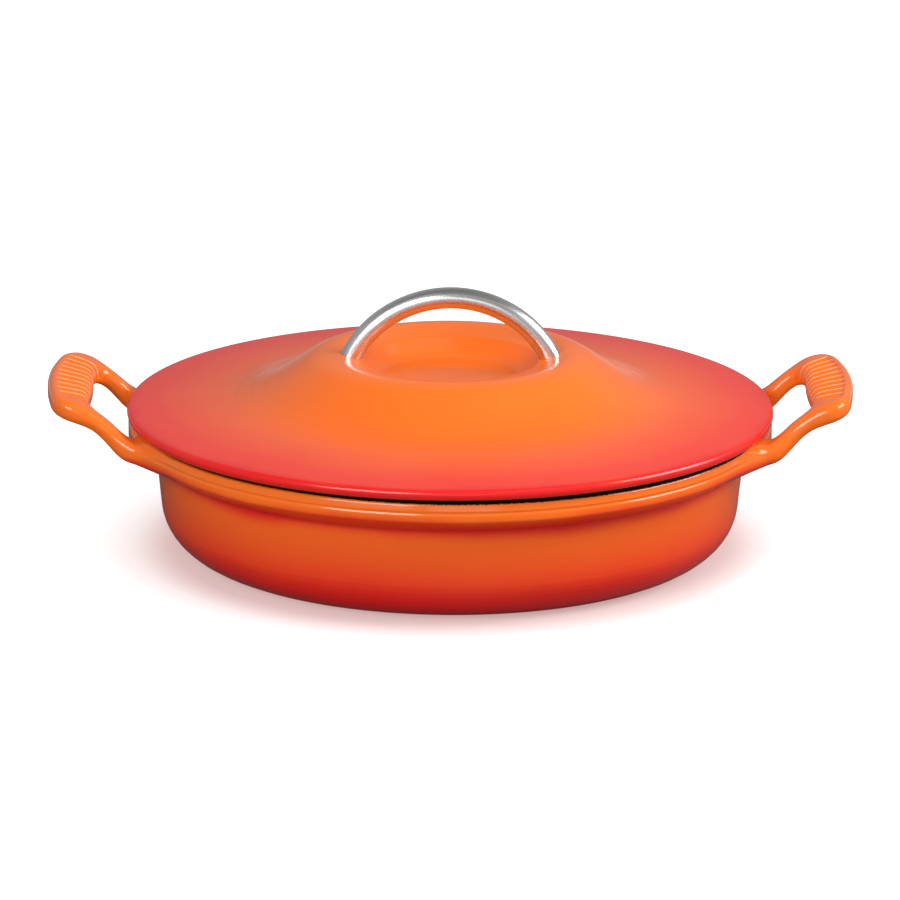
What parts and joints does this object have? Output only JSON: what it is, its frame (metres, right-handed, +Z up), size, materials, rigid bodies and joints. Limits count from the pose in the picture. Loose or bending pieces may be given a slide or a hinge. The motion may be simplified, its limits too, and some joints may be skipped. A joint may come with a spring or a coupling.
{
  "type": "braiser",
  "caption": "Wide shallow round pan with looped side grips and a lift-off lid that has a raised, dished middle and an arched rod handle.",
  "frame": {"origin": "centre of the flat base, on the surface that the pan stands on", "axes": "+Z up along the pot's axis, +X out through one loop handle and -X out through the other, with the lid's arched rod along X"},
  "size_m": [0.3914, 0.315, 0.1288],
  "materials": {
    "pot_enamel": "glossy enamel, orange shading to red towards the base",
    "lid_enamel": "glossy enamel, orange shading to red towards the edge",
    "rod_steel": "finely brushed stainless steel",
    "washer_steel": "satin stainless steel",
    "screw_steel": "satin stainless steel"
  },
  "bodies": {
    "pot": {"pot": "pot_enamel"},
    "lid": {"lid": "lid_enamel", "lid_handle": "rod_steel", "handle_washers": "washer_steel", "handle_screws": "screw_steel"}
  },
  "joints": [
    {"name": "lid_lift", "type": "slide", "parent": "pot", "child": "lid", "axis": [0, 0, 1], "range_m": [0, 0.16]}
  ]
}
